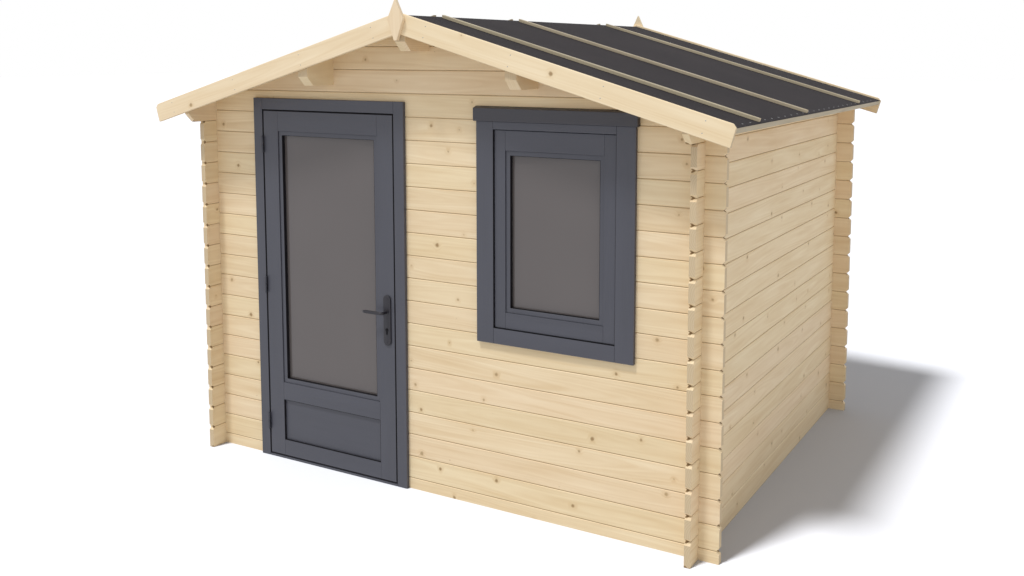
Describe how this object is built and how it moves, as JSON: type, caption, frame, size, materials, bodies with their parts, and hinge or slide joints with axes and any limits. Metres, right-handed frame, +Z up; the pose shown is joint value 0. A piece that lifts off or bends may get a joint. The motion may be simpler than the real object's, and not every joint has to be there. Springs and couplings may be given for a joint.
{
  "type": "garden shed",
  "caption": "Garden shed of crossed wooden logs under a low gable roof of felt, with a half-glazed hinged door and a window in the front wall.",
  "frame": {"origin": "centre of the footprint on the ground, midway between the walls", "axes": "+X to the right along the front wall (door on the left, window on the right), +Y from the front wall to the rear wall, +Z up"},
  "size_m": [3.2424, 2.78, 2.4419],
  "materials": {
    "wall_wood": "bare planed softwood logs with knots",
    "floor_wood": "bare softwood boards",
    "roof_wood": "bare softwood boards and purlins",
    "lath_wood": "bare softwood lath, slightly weathered",
    "trim_wood": "bare planed softwood boards",
    "joinery_paint": "softwood painted satin anthracite grey",
    "glass": "plain clear glass that reads as flat grey brown",
    "felt": "dark grey mineral roofing felt",
    "dark_metal": "dark grey coated metal"
  },
  "bodies": {
    "cabin": {"front_wall_left": "wall_wood", "front_wall_right": "wall_wood", "front_gable": "wall_wood", "rear_wall": "wall_wood", "left_wall": "wall_wood", "right_wall": "wall_wood", "floor_bearers": "floor_wood", "floor_boards": "floor_wood", "ridge_purlin": "roof_wood", "left_purlin": "roof_wood", "right_purlin": "roof_wood", "roof_boards_left": "roof_wood", "roof_boards_right": "roof_wood", "roof_felt_left": "felt", "roof_felt_right": "felt", "roof_battens_left": "lath_wood", "roof_battens_right": "lath_wood", "eave_lath_left": "lath_wood", "eave_lath_right": "lath_wood", "front_barge_left": "trim_wood", "front_barge_right": "trim_wood", "rear_barge_left": "trim_wood", "rear_barge_right": "trim_wood", "front_finial": "trim_wood", "rear_finial": "trim_wood", "door_jambs": "joinery_paint", "door_head": "joinery_paint", "door_threshold": "joinery_paint", "door_side_trims": "joinery_paint", "door_head_trims": "joinery_paint", "window_frame": "joinery_paint", "window_trims": "joinery_paint", "window_drip_board": "joinery_paint", "window_sash": "joinery_paint", "window_glass": "glass", "window_beads": "joinery_paint", "frame_hinges": "dark_metal"},
    "leaf": {"door_stiles": "joinery_paint", "door_rails": "joinery_paint", "door_panel": "joinery_paint", "door_glass": "glass", "door_beads": "joinery_paint", "leaf_hinges": "dark_metal", "handle_plates": "dark_metal"},
    "lever": {"door_lever": "dark_metal"}
  },
  "joints": [
    {"name": "door_hinge", "type": "hinge", "parent": "cabin", "child": "leaf", "pos_m": [-1.0355, -1.183, 0.9535], "axis": [0, 0, -1], "range_deg": [0, 110]},
    {"name": "lever_turn", "type": "hinge", "parent": "leaf", "child": "lever", "pos_m": [-0.228, -1.153, 0.9], "axis": [0, -1, 0], "range_deg": [0, 40], "stiffness_Nm_per_rad": 1.5, "springref_deg": -17.19}
  ]
}
